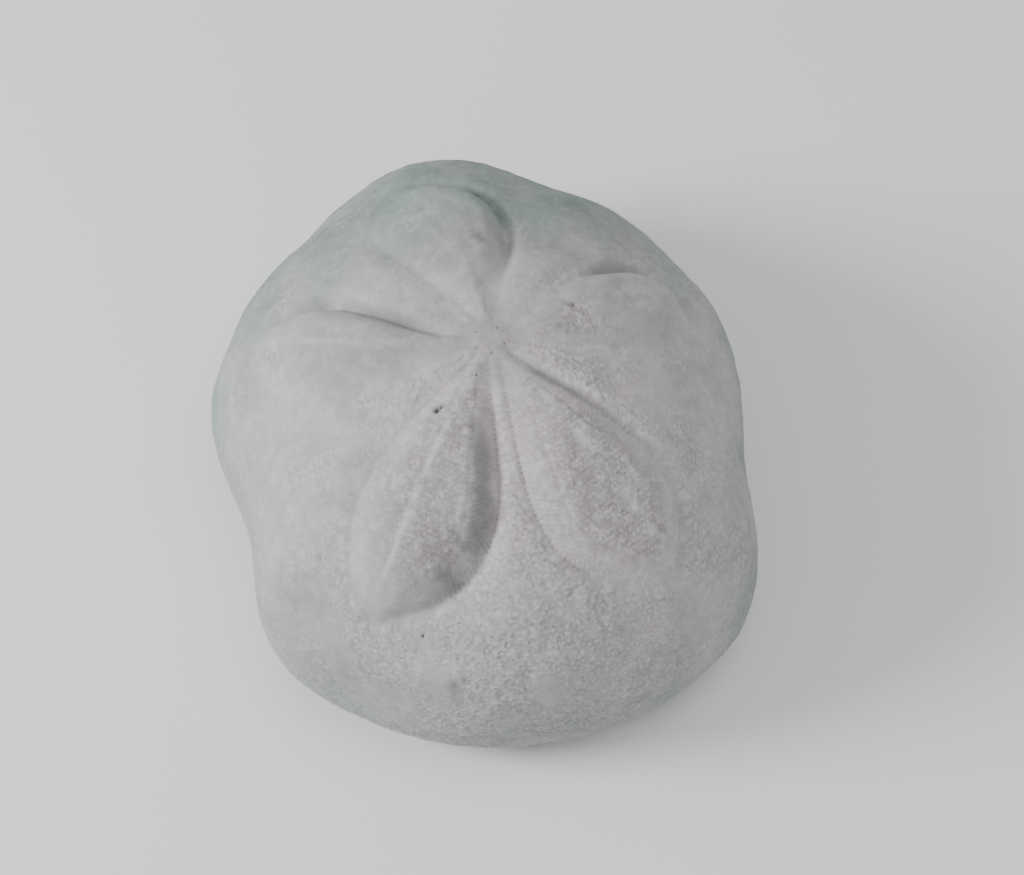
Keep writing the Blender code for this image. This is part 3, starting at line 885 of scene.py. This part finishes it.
def petal_masks(points, mauve, inside, suture, furrow_shade, random):
    """The masks of the petals, with the middle lines and the painted shade of the furrows broken up.
    """
    return {
        "petal": inside * np.minimum(MAUVE_IN_PETAL * mauve, 1),
        "suture": suture * broken(points, SUTURE_BREAKS, random),
        "furrow_shade": furrow_shade * broken(points, SHADE_BREAKS, random),
    }


def chalk_masks(points, slope, travel, random):
    """The masks of the colours that spread over the test, with the painted green reflection, and of
    the
    marks on it: specks of dirt and patches of painted shade.
    """
    # specks of dirt, and painted shade in wide patches and on a flank
    stain_and_shade = np.zeros(len(points))
    for mark_x, mark_y, radius, strength in STAINS_AND_SHADE:
        gap = np.hypot(points[:, 0] - mark_x, points[:, 1] - mark_y)
        stain_and_shade = np.maximum(stain_and_shade, strength * np.exp(-(gap / radius) ** 2))
    mauve = np.clip(spot_share(points, MAUVE, random), 0, 1) * (points[:, 2] > 0)
    # painted green reflection, towards the front and on the steep slopes
    green_reflection = smooth_step(*GREEN_FRONT, points[:, 1])
    green_reflection += GREEN_SLOPE_SHARE * smooth_step(*GREEN_SLOPE, slope)
    green_reflection += GREEN_UNEVENNESS * noise(points, GREEN_WAVES, random)
    green_reflection = np.clip(green_reflection, 0, 1) * (1 - mauve) * smooth_step(*GREEN_END, travel)
    return {"mauve": mauve, "green_reflection": green_reflection, "stain_and_shade": stain_and_shade * (travel < WIDEST)}


def grain_masks(kinds, sunk, fresh, vigour, upper):
    """The masks of the tubercles' bright tops, the painted shade in the low places between them, and
    the painted shade in the pores.
    """
    return {
        "tops": fresh * vigour * np.choose(kinds, TOP_BRIGHTNESS),
        # painted shade between the tubercles
        "valley_shade": np.where(kinds == VALLEY, fresh * np.clip(vigour, 0, 1), 0.0),
        # painted shade in the pores, the small holes and the vent, darker the deeper they are
        "pore_shade": np.clip(sunk / PORE_DEPTH, 0, 1),
        "fresh": fresh * upper,
    }


def build(name, points, faces, masks):
    """A mesh object from the points and triangles, shaded smooth, with a value for each mask."""
    mesh = bpy.data.meshes.new(name)
    mesh.from_pydata(points.tolist(), [], faces.tolist())
    mesh.validate()
    mesh.shade_smooth()
    for mask, values in masks.items():
        mesh.attributes.new(mask, "FLOAT", "POINT").data.foreach_set("value", values)
    piece = bpy.data.objects.new(name, mesh)
    bpy.context.scene.collection.objects.link(piece)
    return piece


def box_middle(low, high):
    """The middle of a box, from its two corners."""
    return (np.array(low) + np.array(high)) / 2


def make_test():
    """The fine surface, moved so that it stands where the solid stands."""
    points, faces, masks = make_surface()
    shift = box_middle(*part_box(NODE)) - box_middle(points.min(axis=0), points.max(axis=0))
    shift[2] = 0.0
    test = build("granular_test", points + shift, faces, masks)
    test.data.materials.append(chalk_material())
    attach(test, BODY)
    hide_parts(NODE)
    return test


class Nodes:
    """A short way to add and join the nodes of a material."""

    def __init__(self, name):
        self.material = bpy.data.materials.new(name)
        self.material.use_nodes = True
        self.tree = self.material.node_tree
        self.shader = self.tree.nodes["Principled BSDF"]

    def add(self, kind, **settings):
        node = self.tree.nodes.new(kind)
        for setting, value in settings.items():
            setattr(node, setting, value)
        return node

    def join(self, source, target):
        self.tree.links.new(source, target)

    def noise(self, vector, scale, detail, roughness):
        node = self.add("ShaderNodeTexNoise")
        node.inputs["Scale"].default_value = scale
        node.inputs["Detail"].default_value = detail
        node.inputs["Roughness"].default_value = roughness
        self.join(vector, node.inputs["Vector"])
        return node.outputs["Fac"]

    def limits(self, value, low, high, to_low=0.0, to_high=1.0):
        node = self.add("ShaderNodeMapRange")
        for socket, number in (("From Min", low), ("From Max", high), ("To Min", to_low),
                               ("To Max", to_high)):
            node.inputs[socket].default_value = number
        self.join(value, node.inputs["Value"])
        return node.outputs["Result"]

    def pattern(self, vector, scale, detail, roughness, low, high):
        """A noise, as a share that is 0 up to low and 1 from high on."""
        return self.limits(self.noise(vector, scale, detail, roughness), low, high)

    def mask(self, name):
        """A value that the mesh has at each of its points."""
        return self.add("ShaderNodeAttribute", attribute_name=name).outputs["Fac"]

    def times(self, first, second):
        node = self.add("ShaderNodeMath", operation="MULTIPLY")
        for socket, value in zip(node.inputs, (first, second)):
            if isinstance(value, (int, float)):
                socket.default_value = value
            else:
                self.join(value, socket)
        return node.outputs[0]

    def blend(self, share, first, second, way="MIX"):
        """Colours mixed by a share; a colour is a tuple or another node's output."""
        node = self.add("ShaderNodeMix", data_type="RGBA", blend_type=way)
        self.join(share, node.inputs[0])
        for socket, value in ((node.inputs[6], first), (node.inputs[7], second)):
            if isinstance(value, tuple):
                socket.default_value = (*value, 1.0)
            else:
                self.join(value, socket)
        return node.outputs[2]


def chalk_material():
    """Dry grey-white calcite: mottled, paler on its grains, with a little dirt.

    Painted shade darkens its pores, its furrows, the low places between its grains and wide patches,
    and a painted green reflection tints it.
    """
    nodes = Nodes("chalky calcite")
    place = nodes.add("ShaderNodeTexCoord").outputs["Object"]
    shares = {name: nodes.pattern(place, *values) for name, values in PATTERNS.items()}
    shares["grain"] = nodes.times(nodes.mask("fresh"), shares["grain"])
    colour = GREY_PALE
    for name, strength, shade, way in LAYERS:
        share = shares[name] if name in shares else nodes.mask(name)
        colour = nodes.blend(nodes.times(share, strength), colour, shade, way)
    nodes.join(colour, nodes.shader.inputs["Base Color"])
    roughness = nodes.limits(shares["patches"], 0.0, 1.0, *CHALK_ROUGHNESS)
    nodes.join(roughness, nodes.shader.inputs["Roughness"])
    nodes.shader.inputs["Specular IOR Level"].default_value = CHALK_SPECULAR
    powder = nodes.add("ShaderNodeBump")
    powder.inputs["Strength"].default_value = POWDER_STRENGTH
    powder.inputs["Distance"].default_value = POWDER_HEIGHT
    nodes.join(nodes.noise(place, POWDER_SCALE, 3.0, 0.65), powder.inputs["Height"])
    nodes.join(powder.outputs["Normal"], nodes.shader.inputs["Normal"])
    return nodes.material


def floor_material():
    """A plain pale floor whose shade drifts a little."""
    nodes = Nodes("pale floor")
    place = nodes.add("ShaderNodeTexCoord").outputs["Object"]
    shade = nodes.pattern(place, 6.0, 3.0, 0.55, 0.3, 0.7)
    nodes.join(nodes.blend(shade, FLOOR_DIM, FLOOR_BRIGHT), nodes.shader.inputs["Base Color"])
    nodes.shader.inputs["Roughness"].default_value = FLOOR_ROUGHNESS
    return nodes.material


def make_floor():
    """A wide pale floor that the test stands on."""
    side = FLOOR_SIZE / 2
    corners = [(-side, -side, 0), (side, -side, 0), (side, side, 0), (-side, side, 0)]
    mesh = bpy.data.meshes.new("floor")
    mesh.from_pydata(corners, [], [(0, 1, 2, 3)])
    floor = bpy.data.objects.new("floor", mesh)
    floor.data.materials.append(floor_material())
    bpy.context.scene.collection.objects.link(floor)


def make_lamp(name, place, width, power):
    """A round soft lamp that shines at the test."""
    light = bpy.data.lights.new(name, "AREA")
    light.shape = "DISK"
    light.size = width
    light.energy = power
    lamp = bpy.data.objects.new(name, light)
    lamp.location = place
    away = Vector(place) - Vector((0.0, 0.0, LAMP_AIM_HEIGHT))
    lamp.rotation_euler = away.to_track_quat("Z", "Y").to_euler()
    bpy.context.scene.collection.objects.link(lamp)


def make_world():
    """Even pale light from all round."""
    world = bpy.data.worlds.new("studio")
    world.use_nodes = True
    background = world.node_tree.nodes["Background"]
    background.inputs["Color"].default_value = (*WORLD_COLOUR, 1.0)
    background.inputs["Strength"].default_value = WORLD_STRENGTH
    bpy.context.scene.world = world


def make_camera():
    """The photograph's view: from the rear, high up and a little to the left."""
    away = Vector((np.sin(CAMERA_BEARING) * np.cos(CAMERA_HEIGHT_ANGLE),
                   -np.cos(CAMERA_BEARING) * np.cos(CAMERA_HEIGHT_ANGLE),
                   np.sin(CAMERA_HEIGHT_ANGLE)))
    lens = bpy.data.cameras.new("camera")
    lens.sensor_width = SENSOR
    lens.lens = SENSOR * FOCAL_PIXELS / IMAGE_WIDTH
    lens.shift_x = (IMAGE_WIDTH / 2 - AIM_PIXEL[0]) / IMAGE_WIDTH
    lens.shift_y = (AIM_PIXEL[1] - IMAGE_HEIGHT / 2) / IMAGE_WIDTH
    camera = bpy.data.objects.new("camera", lens)
    camera.location = Vector(CAMERA_AIM) + away * CAMERA_DISTANCE
    camera.rotation_euler = away.to_track_quat("Z", "Y").to_euler()
    bpy.context.scene.collection.objects.link(camera)
    bpy.context.scene.camera = camera


make_test()
make_floor()
for lamp in LAMPS:
    make_lamp(*lamp)
make_world()
make_camera()
